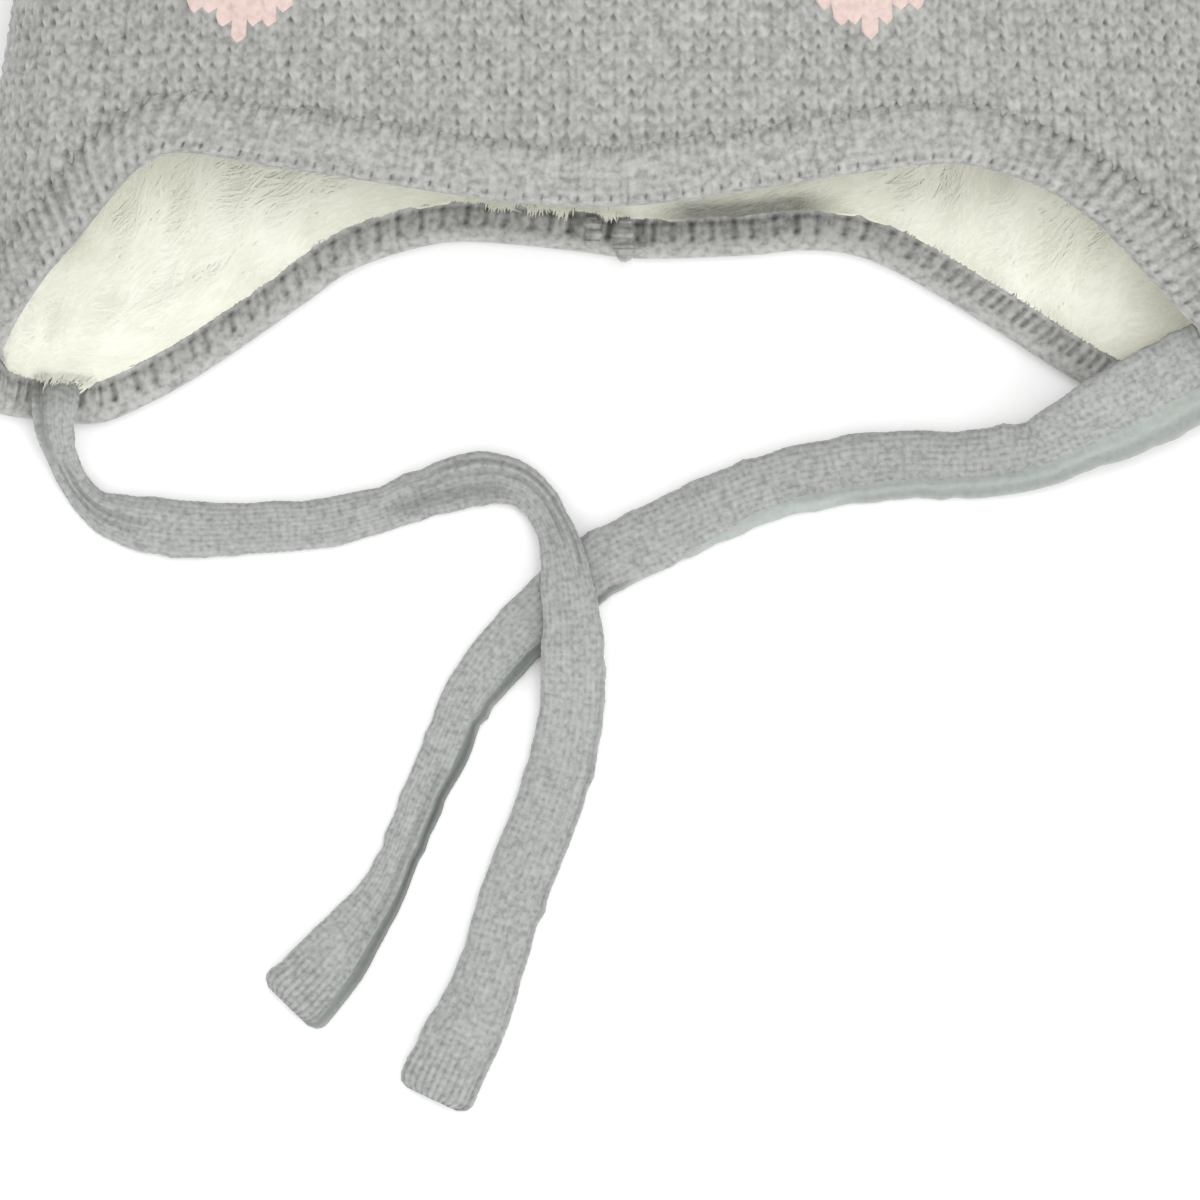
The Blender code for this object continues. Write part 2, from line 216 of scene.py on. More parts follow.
def melange_finish(name, light, middle, dark, painted_gap_shade=0.4, fineness=850.0):
    """Spun yarn of pale and dark fibres: specks along the yarn, and painted shade between loops."""
    made, shader = new_finish(name, 0.92, sheen=0.25)
    place = add(made, "ShaderNodeTexCoord")["Object"]
    # Specks of about 1 mm, the length that one shade of fibre shows on the yarn.
    specks = add(
        made, "ShaderNodeTexNoise", Vector=place, Scale=fineness, Detail=1.5, Roughness=0.5,
    )["Fac"]
    level = add(made, "ShaderNodeMapRange", Value=specks, i1=0.32, i2=0.68, i3=0.0, i4=1.0)[0]
    ramp = add(made, "ShaderNodeValToRGB", Fac=level)
    stops = ramp["Color"].node.color_ramp.elements
    stops[0].color, stops[1].color = linear(dark), linear(light)
    stops.new(0.45).color = linear(middle)
    # Each point's tone and painted shade darken the yarn, down to the painted gap shade in the deepest
    # gaps.
    tone_and_painted_shade = add(made, "ShaderNodeAttribute", {"attribute_name": "tone_and_painted_shade"})["Fac"]
    shade = add(made, "ShaderNodeMapRange", Value=tone_and_painted_shade, i1=0.0, i2=1.0, i3=painted_gap_shade, i4=1.0)[0]
    shown = add(
        made, "ShaderNodeMix", {"data_type": "RGBA", "blend_type": "MULTIPLY"},
        i0=1.0, i6=ramp["Color"], i7=shade,
    )[2]
    # Loose fibres roughen the yarn. They are finer than 0.05 mm and are drawn about 0.2 mm
    # thick, so that they show.
    fibres = add(
        made, "ShaderNodeTexNoise", Vector=place, Scale=4200.0, Detail=2.0, Roughness=0.7,
    )["Fac"]
    bump = add(made, "ShaderNodeBump", Strength=0.6, Distance=0.0001, Height=fibres)["Normal"]
    made.node_tree.links.new(shown, shader.inputs["Base Color"])
    made.node_tree.links.new(bump, shader.inputs["Normal"])
    return made


def cloth_piece(name, points, faces, finishes, tone_and_painted_shade=None, finish_of_face=None):
    """A smooth mesh piece, with each point's tone and painted shade from 0 to 1."""
    mesh = bpy.data.meshes.new(name)
    mesh.from_pydata(np.asarray(points).reshape(-1, 3).tolist(), [], faces)
    mesh.shade_smooth()
    for finish in finishes:
        mesh.materials.append(finish)
    if tone_and_painted_shade is not None:
        layer = mesh.attributes.new("tone_and_painted_shade", "FLOAT", "POINT")
        layer.data.foreach_set("value", np.ascontiguousarray(tone_and_painted_shade, np.float32).ravel())
    if finish_of_face is not None:
        mesh.polygons.foreach_set("material_index", np.ascontiguousarray(finish_of_face, np.int32))
    made = bpy.data.objects.new(name, mesh)
    bpy.context.scene.collection.objects.link(made)
    return made


def tube_faces(rings, around):
    """Quads between rings of points that close on themselves."""
    here = np.arange(rings - 1)[:, None] * around
    k = np.arange(around)[None, :]
    n = (k + 1) % around
    quads = np.stack([here + k, here + n, here + around + n, here + around + k], axis=-1)
    return quads.reshape(-1, 4).tolist()


def tie_route(rows, step):
    """The rows' values on a smooth curve through them, at even steps along it."""
    table_rows = np.array(rows, float)
    before = 2 * table_rows[0] - table_rows[1]
    after = 2 * table_rows[-1] - table_rows[-2]
    padded = np.vstack([before, table_rows, after])
    dense = []
    for a, b, c, d in zip(padded, padded[1:], padded[2:], padded[3:]):
        for t in np.linspace(0.0, 1.0, 24, endpoint=False):
            dense.append(0.5 * (
                2 * b + (c - a) * t + (2 * a - 5 * b + 4 * c - d) * t ** 2
                + (3 * b - a - 3 * c + d) * t ** 3
            ))
    dense = np.array(dense + [table_rows[-1]])
    dense[:, 2] = np.maximum(dense[:, 2], 0.0)
    run = np.concatenate([[0.0], np.cumsum(np.linalg.norm(np.diff(dense[:, :3], axis=0), axis=1))])
    wanted = np.linspace(0.0, run[-1], int(run[-1] / step) + 1)
    return wanted, np.stack([np.interp(wanted, run, dense[:, k]) for k in range(5)], axis=1)


def knitted_tie(name, rows, creases, rolls, finish, back_finish, seed):
    """A flat tube of fine knit along its rows. Returns the piece and the line it follows."""
    rng = np.random.default_rng(seed)
    run, route = tie_route(rows, TIE_COURSE / 2)
    width, roll = route[:, 3], np.radians(route[:, 4])
    thickness = TIE_THICKNESS * np.minimum(width / TIE_WIDTH, 1.1)
    line = np.stack(
        [route[:, 0], route[:, 1] + FLAP_LEVEL, route[:, 2] + thickness / 2], axis=1)
    ahead = np.gradient(line, axis=0)
    ahead /= np.linalg.norm(ahead, axis=1)[:, None]
    side = np.cross((0.0, 0.0, 1.0), ahead)
    side /= np.linalg.norm(side, axis=1)[:, None]
    top = np.cross(ahead, side)
    side, top = (
        side * np.cos(roll)[:, None] - top * np.sin(roll)[:, None],
        top * np.cos(roll)[:, None] + side * np.sin(roll)[:, None],
    )
    around = TIE_WALES * 3
    turn = np.linspace(0.0, 2 * math.pi, 720, endpoint=False)
    flat_x = np.sign(np.cos(turn)) * np.abs(np.cos(turn)) ** 0.62 / 2
    flat_z = np.sign(np.sin(turn)) * np.abs(np.sin(turn)) ** 0.85 / 2
    lengths = np.hypot(np.diff(flat_x, append=flat_x[0]) * TIE_WIDTH,
                       np.diff(flat_z, append=flat_z[0]) * TIE_THICKNESS)
    part_way = np.concatenate([[0.0], np.cumsum(lengths)])[:-1] / lengths.sum()
    evenly = np.arange(around) / around
    section_x = np.interp(evenly, part_way, flat_x)
    section_z = np.interp(evenly, part_way, flat_z)
    out = np.stack([section_x * 0.35, section_z], axis=1)
    out /= np.linalg.norm(out, axis=1)[:, None]

    rings = len(run)
    column = np.arange(around) % 3
    row = np.arange(rings) % 2
    gap_column = np.where(column == 0, 0.7, np.where(column == 1, 0.15, 0.0))
    gap_row = np.where(row == 0, 0.6, 0.0)
    end_grooves = 1.0 + 1.6 * np.clip((run - run[-1] + 0.012) / 0.008, 0.0, 1.0)
    gap = gap_column[None, :] * end_grooves[:, None] + gap_row[:, None]
    gap += 0.5 * gap_column[None, :] * gap_row[:, None]
    # Where the tie rolls over, its smooth back shows past the roll.
    across = section_x * 2
    knit_ends, shadow = np.ones(rings), np.zeros(rings)
    for start, stop, at_start, at_stop, dark in rolls:
        shown = at_start + (at_stop - at_start) * np.clip((run - start) / (stop - start), 0.0, 1.0)
        taper = np.clip(np.minimum(run - start, stop - run) / ROLL_TAPER, 0.0, 1.0)
        knit_ends = np.minimum(knit_ends, 1.0 - (1.0 - shown) * taper)
        shadow = np.maximum(shadow, dark * taper)
    back = across[None, :] > knit_ends[:, None] + 1e-6
    gap *= np.where(back, 0.15, 1.0)
    # Each stitch shows its own shade of the yarn.
    tone = rng.normal(0.0, 1.0, (rings // 2 + 1, TIE_WALES)).repeat(2, axis=0).repeat(3, axis=1)[:rings]
    tone = tone * np.where(back, 0.2, 1.0)
    height = -TIE_RELIEF * (gap + rng.normal(0.0, 0.15, gap.shape))
    # The gaps between stitches are dented in and painted in shade, each stitch's own tone is added, and
    # the rolled strip is painted darker with the shade it lies in.
    shade = np.clip(0.90 - 0.17 * gap + 0.06 * tone, 0.0, 1.0)
    shade *= 1.0 - shadow[:, None] * back
    corner = np.clip(TIE_CORNER - (run[-1] - run), 0.0, TIE_CORNER)
    width = width - 2 * (TIE_CORNER - np.sqrt(TIE_CORNER ** 2 - corner ** 2)) * 0.8
    thickness = thickness * (1 - 0.3 * corner / TIE_CORNER)
    upper = np.clip(section_z / 0.35, 0.0, 1.0)
    for start, stop, from_side, to_side, depth, half_width in creases:
        along = np.clip((run - start) / CREASE_TAPER, 0, 1) * np.clip((stop - run) / CREASE_TAPER, 0, 1)
        along = along * along * (3 - 2 * along)
        drift = np.clip((run - start) / (stop - start), 0, 1)
        centre = from_side + (to_side - from_side) * drift
        dip = np.exp(-((across[None, :] - centre[:, None]) / half_width) ** 2)
        dip = dip * along[:, None] * upper[None, :]
        height -= depth * dip
        # A crease is painted in shade as well as pressed in; a ridge is only raised.
        if depth > 0:
            shade *= 1.0 - 0.45 * dip
    # The two edges waver on their own, by one or two tenths of a millimetre.
    knots = np.linspace(0.0, run[-1], WAVER_KNOTS)
    waver = [np.interp(run, knots, rng.normal(0.0, TIE_WAVER, WAVER_KNOTS)) for _ in range(2)]
    spread = np.where(section_x > 0, section_x, 0)[None, :] * waver[0][:, None]
    spread += np.where(section_x < 0, section_x, 0)[None, :] * waver[1][:, None]
    beside = section_x[None, :] * width[:, None] + spread
    above = section_z[None, :] * thickness[:, None] + out[None, :, 1] * height
    points = (
        line[:, None, :]
        + side[:, None, :] * beside[..., None]
        + side[:, None, :] * (out[None, :, 0] * height)[..., None]
        + top[:, None, :] * above[..., None]
    )
    points[:, :, 2] = np.maximum(points[:, :, 2], 0.0)
    faces = tube_faces(rings, around)
    rolled = back[:-1] & (section_z[None, :] > -0.3)
    faces.append(list(range(around))[::-1])
    faces.append([(rings - 1) * around + k for k in range(around)])
    made = cloth_piece(
        name, points, faces, [finish, back_finish], shade, [*rolled.astype(int).ravel().tolist(), 0, 0])
    return made, line


# Cotton and acrylic spun together: a soft dull grey of pale and dark fibres.
tape_knit = melange_finish(
    "grey_melange_cotton_acrylic_tape", "#B1B3B0", "#A8AAA8", "#989A99", 0.4, 1100.0)
# The tape's back is smooth, so its fibres show as hardly more than one grey.
tape_back = melange_finish("grey_cotton_acrylic_tape_back", "#AEB4AF", "#AAB0AB", "#A4AAA5", 0.42)

# A crease runs along the tie from one distance to another, from one side to the other
# (-1 to 1 across it), with its depth (below 0 for a ridge) and its half width.
LEFT_CREASES = (
    (0.000, 0.020, -0.75, -0.75, 0.0012, 0.4),
    (0.016, 0.040, 0.05, 0.1, 0.0005, 0.12),
    (0.016, 0.038, -0.35, -0.3, 0.0004, 0.10),
    (0.020, 0.048, 0.45, 0.5, -0.0004, 0.2),
    (0.076, 0.103, -0.1, -0.5, 0.0011, 0.36),
    (0.080, 0.116, 0.30, 0.25, 0.0004, 0.10),
    (0.084, 0.122, 0.66, 0.70, 0.0003, 0.08),
    (0.078, 0.120, 0.48, 0.50, -0.0004, 0.14),
    (0.132, 0.239, 1.0, 1.0, 0.0010, 0.2),
)
RIGHT_CREASES = (
    (-0.010, 0.078, 0.33, 0.72, -0.0007, 0.12),
    (-0.010, 0.070, 0.72, 0.95, 0.0006, 0.3),
    (0.104, 0.128, 1.0, 1.0, 0.0018, 0.24),
    (0.124, 0.165, 0.92, 0.92, 0.0016, 0.34),
    (0.150, 0.190, 0.2, 0.4, 0.0004, 0.2),
    (0.158, 0.205, 1.0, 0.95, 0.0016, 0.34),
)
# Where the tie rolls over, from one distance to another, how far across the knit shows at each,
# and how dark the rolled strip lies in its own shade (0 to 1).
LEFT_ROLLS = ()
RIGHT_ROLLS = (
    (-0.030, 0.100, 0.06, 0.68, 0.0),
    (0.104, 0.150, 0.84, 0.50, 0.80),
    (0.132, 0.208, 0.50, 0.74, 0.80),
)
left_tie, left_line = knitted_tie(
    "left_tie_knitted", LEFT_TIE, LEFT_CREASES, LEFT_ROLLS, tape_knit, tape_back, 11)
right_tie, right_line = knitted_tie(
    "right_tie_knitted", RIGHT_TIE, RIGHT_CREASES, RIGHT_ROLLS, tape_knit, tape_back, 12)
for tie, node, line in (
    (left_tie, "left_tie", left_line),
    (right_tie, "right_tie", right_line),
):
    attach(tie, "root")
    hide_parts(node)


# The knitted body. One wall of grey melange jersey, knitted in the round: every stitch is a
# pair of slanting yarn legs, with a small gap between neighbours, dented in and painted dark
# with shade. Pink hearts are knitted in, and the crown is drawn together by rounds that knit
# two stitches into one.
HALF_WIDTH_AT_TIPS = 0.1115
HALF_WIDTH_AT_DOME = 0.1025
DOME_START = 0.0701
DOME_HEIGHT = 0.120
DOME_POWER = 2.4
FOLD_RADIUS = 0.014
BROW_RISE = 0.006
CROWN_RISE = 0.028
CROWN_POLE_HEIGHT = 0.023
FLAP_DROP = 0.0447
RISE_FROM = FLAP_DROP / 2
RISE_TO = DOME_START + 0.4 * DOME_HEIGHT
CROWN_TOP = DOME_START + DOME_HEIGHT
BAND_WIDTH = 0.0104
CLOTH_WAVE = 0.00035
# The free edge of the rim: share round the hat, rise as a share of FLAP_DROP.
RIM = (
    (0.002, 0.612),
    (0.043, 0.624),
    (0.061, 0.642),
    (0.079, 0.627),
    (0.096, 0.557),
    (0.131, 0.333),
    (0.159, 0.140),
    (0.181, 0.035),
    (0.210, 0.000),
    (0.240, 0.025),
    (0.265, 0.110),
    (0.285, 0.230),
    (0.300, 0.340),
    (0.316, 0.528),
    (0.332, 0.709),
    (0.349, 0.834),
    (0.367, 0.904),
    (0.385, 0.935),
    (0.425, 0.888),
    (0.461, 0.826),
    (0.504, 0.776),
    (0.547, 0.798),
    (0.608, 0.891),
    (0.637, 0.937),
    (0.656, 0.973),
    (0.669, 0.975),
    (0.679, 0.918),
    (0.688, 0.810),
    (0.703, 0.594),
    (0.729, 0.288),
    (0.750, 0.125),
    (0.775, 0.040),
    (0.799, 0.008),
    (0.816, 0.000),
    (0.832, 0.072),
    (0.849, 0.177),
    (0.883, 0.434),
    (0.900, 0.564),
    (0.918, 0.635),
    (0.935, 0.672),
    (0.953, 0.668),
    (0.980, 0.640),
)
WALES = 176
COURSE = 0.0024
STITCH_DEPTH = 0.00055
STITCH_SLANT = 0.9
STITCH_WANDER = 0.00013
# About the length once round the hat, which turns a width into a share.
GIRTH = 0.44
# Where a round knits two stitches into one, as a share of the hat's width below the dome.
CROWN_NARROWINGS = (0.52, 0.27, 0.13, 0.0)
# The seam draws the cloth down beside the band: how far, from where, and over what width.
SEAM_SINK = 0.0009
SEAM_SINK_REACH = 0.0012
SEAM_SINK_WIDTH = 0.0022
# Half the heart's width and half its notch, in stitches, from the tip upwards.
HEART = (
    (0.6, 0.0), (2.1, 0.0), (3.6, 0.0), (4.8, 0.0), (5.9, 0.0), (7.0, 0.0), (8.0, 0.0),
    (8.8, 0.0), (9.3, 0.0), (9.3, 0.0), (9.0, 0.6), (8.2, 1.4), (7.0, 2.6), (5.6, 3.8),
)
# Where the tips of the hearts lie: share round the hat, up.
HEART_TIPS = ((0.413, 0.0598), (0.644, 0.0616), (0.154, 0.0607), (0.888, 0.0607))


def hat_measures(up):
    """Half the flat nape, the brow arc's angle and radius, and the height, at a level."""
    half_width = HALF_WIDTH_AT_TIPS + (HALF_WIDTH_AT_DOME - HALF_WIDTH_AT_TIPS) * up / DOME_START
    ramp = np.clip((up - RISE_FROM) / (RISE_TO - RISE_FROM), 0.0, 1.0)
    rise = BROW_RISE + (CROWN_RISE - BROW_RISE) * ramp * ramp * (3 - 2 * ramp)
    flat = half_width - FOLD_RADIUS
    tilt = 2 * np.arctan(rise / flat)
    return flat, tilt, (flat + FOLD_RADIUS * np.sin(tilt)) / np.sin(tilt), 2 * FOLD_RADIUS + rise


def half_girth(up):
    """Half the length round the cross-section, before the crown closes."""
    flat, tilt, brow_radius, _ = hat_measures(up)
    return flat + FOLD_RADIUS * (math.pi - tilt) + brow_radius * tilt


def crown_scale(up):
    """How far the hat has closed towards the crown: 1 below the dome, 0 at its top."""
    along = np.clip((up - DOME_START) / DOME_HEIGHT, 0.0, 1.0)
    return np.maximum(1.0 - along ** DOME_POWER, 0.0) ** (1.0 / DOME_POWER)


def dome_levels(count):
    """Levels from the dome's start to the crown's top, closer together near the top."""
    turn = np.linspace(0.0, math.pi / 2, count)
    return DOME_START + DOME_HEIGHT * np.sin(turn) ** (2 / DOME_POWER)


def hat_shell(share, up):
    """Points of the hat's outer surface."""
    share, up = np.broadcast_arrays(np.asarray(share, float), np.asarray(up, float))
    flat, tilt, brow_radius, height = hat_measures(up)
    turn = share - np.round(share)
    fold_end = flat + FOLD_RADIUS * (math.pi - tilt)
    whole = fold_end + brow_radius * tilt
    way = np.abs(turn) * 2 * whole
    in_fold = (way - flat) / FOLD_RADIUS
    in_brow = (whole - way) / brow_radius
    x = np.where(way < flat, way, np.where(
        way < fold_end, flat + FOLD_RADIUS * np.sin(in_fold), brow_radius * np.sin(in_brow)))
    z = np.where(way < flat, 0.0, np.where(
        way < fold_end, FOLD_RADIUS * (1 - np.cos(in_fold)),
        height - brow_radius * (1 - np.cos(in_brow))))
    scale = crown_scale(up)
    return np.stack([
        np.copysign(x, turn) * scale, up + FLAP_LEVEL,
        CROWN_POLE_HEIGHT + (z - CROWN_POLE_HEIGHT) * scale,
    ], axis=-1)


def hat_normals(share, up):
    """Outward directions of the hat's surface."""
    step = 1e-4
    level = np.clip(up, -0.01, CROWN_TOP - 3 * step)
    turning = hat_shell(share + step, level) - hat_shell(share - step, level)
    rising = hat_shell(share, level + step) - hat_shell(share, level - step)
    out = np.cross(rising, turning)
    return out / np.maximum(np.linalg.norm(out, axis=-1, keepdims=True), 1e-12)


def hat_cloth(share, up, lift):
    """Points at a lift from the hat's outer surface, which lies in slow soft waves."""
    share, up, lift = np.broadcast_arrays(
        np.asarray(share, float), np.asarray(up, float), np.asarray(lift, float))
    base = hat_shell(share, up)
    waves = CLOTH_WAVE * (
        np.sin(2 * math.pi * 5 * share + up * 70) + np.sin(2 * math.pi * 9 * share - up * 110 + 1.0)
    )
    waves = waves * np.clip((base[..., 2] - 0.006) / 0.012, 0.0, 1.0) * crown_scale(up)
    points = base + hat_normals(share, up) * (lift + waves)[..., None]
    points[..., 2] = np.maximum(points[..., 2], 0.0)
    return points


def rim_levels(samples=6000):
    """The level of the rim's free edge once round, on a smooth closed curve through RIM."""
    rows = np.array(RIM)
    count = len(rows)
    shares = np.concatenate([rows[:, 0] - 1, rows[:, 0], rows[:, 0] + 1])
    rises = np.tile(rows[:, 1], 3)
    slopes = np.zeros(len(shares))
    slopes[1:-1] = (rises[2:] - rises[:-2]) / (shares[2:] - shares[:-2])
    wanted = np.arange(samples) / samples
    low = np.clip(np.searchsorted(shares, wanted, side="right") - 1, count - 2, 2 * count + 1)
    gap = shares[low + 1] - shares[low]
    t = (wanted - shares[low]) / gap
    rise = (
        (2 * t ** 3 - 3 * t ** 2 + 1) * rises[low] + (t ** 3 - 2 * t ** 2 + t) * slopes[low] * gap
        + (3 * t ** 2 - 2 * t ** 3) * rises[low + 1] + (t ** 3 - t ** 2) * slopes[low + 1] * gap
    )
    return wanted, FLAP_DROP * rise


RIM_SHARES, RIM_UPS = rim_levels()


def rim_up(share):
    """The level of the rim's free edge at a share."""
    return np.interp(share % 1.0, RIM_SHARES, RIM_UPS, period=1.0)


def from_edge(share, across):
    """The cloth's place at a width inside the free edge, measured square to that edge."""
    up = rim_up(share)
    once_round = 2 * half_girth(up)
    step = 5e-4
    run, climb = 2 * step * once_round, rim_up(share + step) - rim_up(share - step)
    size = np.hypot(run, climb)
    return share - climb / size * across / once_round, up + run / size * across


def edge_distance(share, up):
    """How far a place of the cloth is inside the rim's free edge, along the cloth."""
    once_round = 2 * half_girth(FLAP_DROP)
    rim_x = np.concatenate([RIM_SHARES[::6] - 1, RIM_SHARES[::6], RIM_SHARES[::6] + 1]) * once_round
    rim_y = np.tile(RIM_UPS[::6], 3)
    flat_share, flat_up = share.ravel() % 1.0, up.ravel()
    found = np.full(flat_share.shape, 0.1)
    near = np.flatnonzero(flat_up < FLAP_DROP + 0.03)
    for part in np.array_split(near, max(1, len(near) // 4000)):
        gap = np.hypot(flat_share[part, None] * once_round - rim_x, flat_up[part, None] - rim_y)
        found[part] = gap.min(axis=1)
    below = flat_up < rim_up(flat_share)
    return np.where(below, -found, found).reshape(share.shape)


def course_levels():
    """The levels of the courses' edges, spaced evenly along the cloth up to the crown's top."""
    ups = np.concatenate([np.linspace(0.0, DOME_START, 2000)[:-1], dome_levels(4000)])
    lines = np.stack([hat_shell(np.full_like(ups, share), ups) for share in (0.1, 0.25, 0.35, 0.5)])
    steps = np.linalg.norm(np.diff(lines, axis=1), axis=2).mean(axis=0)
    run = np.concatenate([[0.0], np.cumsum(steps)])
    count = int(run[-1] / COURSE)
    levels = np.interp(np.arange(count * 3 + 1) / 3 * COURSE, run, ups)
    levels[-1] = CROWN_TOP
    return levels


def heart_stitches(stitch_share, stitch_up):
    """Which stitches are knitted in pink."""
    pink = np.zeros(stitch_share.shape, bool)
    for tip_share, tip_up in HEART_TIPS:
        beside = (stitch_share - tip_share + 0.5) % 1.0 - 0.5
        beside = np.abs(beside) * WALES
        row = np.floor((stitch_up - tip_up) / COURSE).astype(int)
        for index, (half_width, notch) in enumerate(HEART):
            pink |= (row == index) & (beside < half_width) & (beside >= notch)
    return pink


def knitted_half(name, first_share, finishes, seed):
    """Half the body, from one fold to the other, stitch by stitch."""
    rng = np.random.default_rng(seed)
    levels = course_levels()
    zones = []
    wales, start = WALES // 2, 0
    for narrow_at in CROWN_NARROWINGS:
        stop = int(np.searchsorted(-crown_scale(levels), -narrow_at)) if narrow_at else len(levels) - 1
        stop -= (stop - start) % 3
        zones.append((wales, start, stop))
        wales, start = wales // 2, stop
    points, shades, faces, pink_faces = [], [], [], []
    offset, previous = 0, None
    for wales, start, stop in zones:
        columns = np.arange(wales * 4 + 1)
        rows = np.arange(start, stop + 1)
        share = first_share + 0.5 * columns / (wales * 4)
        beside = np.abs(columns % 4 / 4 - 0.5)
        lifted = np.interp(
            rows[:, None] + 3 * STITCH_SLANT * beside[None, :], np.arange(len(levels)), levels)
        lifted = np.minimum(lifted, levels[-1])
        across = np.broadcast_to(share[None, :], lifted.shape).copy()
        gap_column = np.choose(columns % 4, (0.6, 0.0, 0.4, 0.0))
        gap_row = np.choose(rows % 3, (0.5, 0.0, 0.1))
        hole = (columns % 4 == 0)[None, :] & (rows % 3 == 0)[:, None]
        # Some holes between the stitches are open, deep and painted dark with shade, others nearly
        # closed.
        open_holes = rng.uniform(0.0, 0.95, (len(rows), len(columns)))
        gap = gap_column[None, :] + gap_row[:, None] + hole * open_holes
        gap = gap + rng.normal(0.0, 0.1, gap.shape)
        # The pink yarn is fuller, so its stitches close up.
        stitch_share = first_share + 0.5 * (columns // 4 + 0.5) / wales
        stitch_up = levels[rows - rows % 3]
        pink = heart_stitches(*np.broadcast_arrays(stitch_share[None, :], stitch_up[:, None]))
        gap = gap * np.where(pink, 0.5, 1.0)
        # Each leg of a stitch shows its own shade of the yarn.
        legs = rng.normal(0.0, 1.0, (len(rows) // 3 + 1, wales * 2 + 1))
        legs = legs.repeat(3, axis=0).repeat(2, axis=1)[:len(rows), :len(columns)]
        inner = (columns % (wales * 4) != 0)
        across += rng.normal(0.0, 0.06, across.shape) * inner / (wales * 8)
        # The wales and courses wander a little, as no two stitches are quite alike.
        wander = STITCH_WANDER * crown_scale(lifted)
        swing = 2 * math.pi * across
        aside = np.sin(41 * swing + 620 * lifted) + np.sin(67 * swing - 930 * lifted)
        upwards = np.sin(53 * swing - 540 * lifted) + np.sin(29 * swing + 810 * lifted)
        across, lifted = across + wander * aside / GIRTH, lifted + wander * upwards
        fade = 0.55 + 0.45 * crown_scale(lifted)
        lift = -STITCH_DEPTH * gap * fade
        inside = edge_distance(across, lifted)
        sink = np.clip((BAND_WIDTH + SEAM_SINK_REACH - inside) / SEAM_SINK_WIDTH, 0.0, 1.0)
        lift -= SEAM_SINK * sink * sink * (3 - 2 * sink)
        # The seam pulls the gaps between the wales open in a row of holes, painted dark with shade.
        seam = np.exp(-((inside - BAND_WIDTH - 0.0003) / 0.0008) ** 2) * (columns % 4 == 0)[None, :]
        gap = gap + 1.3 * seam
        points.append(hat_cloth(across, lifted, lift).reshape(-1, 3))
        # The gaps are painted in shade; each leg's tone is the yarn's own.
        shades.append(np.clip(0.92 - 0.30 * gap + 0.08 * legs, 0.0, 1.0).ravel())
        width = len(columns)
        low = offset + np.arange(len(rows) - 1)[:, None] * width + np.arange(width - 1)[None, :]
        quads = np.stack([low, low + width, low + width + 1, low + 1], axis=-1)
        kept = np.minimum(inside[1:, 1:], inside[:-1, :-1]) > BAND_WIDTH - 0.004
        faces += quads[kept].tolist()
        pink_faces += pink[:-1, :-1][kept].astype(int).tolist()
        if previous is not None:
            for k in range(width - 1):
                a, b, c = previous + 2 * k, previous + 2 * k + 1, previous + 2 * k + 2
                faces.append([a, offset + k, offset + k + 1, c, b])
                pink_faces.append(0)
        previous = offset + (len(rows) - 1) * width
        offset += len(rows) * width
    made = cloth_piece(name, np.concatenate(points), faces, finishes, np.concatenate(shades), pink_faces)
    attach(made, "root")
    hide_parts("knitted_body")
    return made


# Cotton and acrylic jersey: soft, dull, flecked with pale and dark fibres.
grey_jersey = melange_finish(
    "grey_melange_cotton_acrylic_jersey", "#B6B6B3", "#A8A8A5", "#959592", 0.4, 720.0)
# The hearts' yarn is a pale plain pink, with hardly any painted shade between its stitches.
pink_jersey = melange_finish("pink_cotton_acrylic_jersey", "#D9C5BE", "#D3BEB7", "#CCB6AE", 0.92)
knitted_half("knitted_front", 0.25, [grey_jersey, pink_jersey], 21)
knitted_half("knitted_back", 0.75, [grey_jersey, pink_jersey], 22)


# The rim band. A strip of rib knitted along the rim, folded inwards and linked down, so that it
# is doubled. Its ribs stand square to the edge, and gape where the arches stretch them.
BAND_THICKNESS = 0.005
RIB_AT_BROW = 0.0014
RIB_AT_ARCH = 0.0022
RIB_DEPTH = 0.0003
RIB_COURSE = 0.0016
BAND_LIP = 0.0026
BAND_ROUND = 60
# The loops of the inner face, on the left and middle and on the right, and where they end.
LOOP_PITCH = 0.0035
LOOP_PITCH_AT_RIGHT = 0.0019
LOOP_END = 0.0061
# The back seam's ridges: place along the nape, radius, and where each starts and ends inwards
# from the free edge. The cloth is drawn into hollows beside them, painted dark with shade.
SEAM_RIDGES = ((-0.0069, 0.0014, 0.0012, 0.0062), (-0.0013, 0.0017, -0.0008, 0.0066))
SEAM_HOLLOWS = (-0.0098, -0.0041, 0.0018)
# How far the ribs lean from square to the edge, in degrees towards higher shares.
RIB_LEAN = (
    (0.00, 0), (0.09, 4), (0.12, 14), (0.20, 14), (0.25, 0), (0.30, -7), (0.42, 0),
    (0.60, 0), (0.68, -19), (0.74, -10), (0.80, 0), (0.87, 16), (0.93, 8), (1.00, 0),
)


def band_ring():
    """The band's section: across from the free edge, depth below the outer surface."""
    turn = np.linspace(0.0, 2 * math.pi, 1440, endpoint=False)
    across = 0.5 - 0.5 * np.sign(np.cos(turn)) * np.abs(np.cos(turn)) ** 0.55
    depth = 0.5 - 0.5 * np.sign(np.sin(turn)) * np.abs(np.sin(turn)) ** 0.8
    lengths = np.hypot(np.diff(across, append=across[0]) * BAND_WIDTH,
                       np.diff(depth, append=depth[0]) * BAND_THICKNESS)
    part_way = np.concatenate([[0.0], np.cumsum(lengths)])[:-1] / lengths.sum()
    evenly = np.arange(BAND_ROUND) / BAND_ROUND
    return np.interp(evenly, part_way, across), np.interp(evenly, part_way, depth)


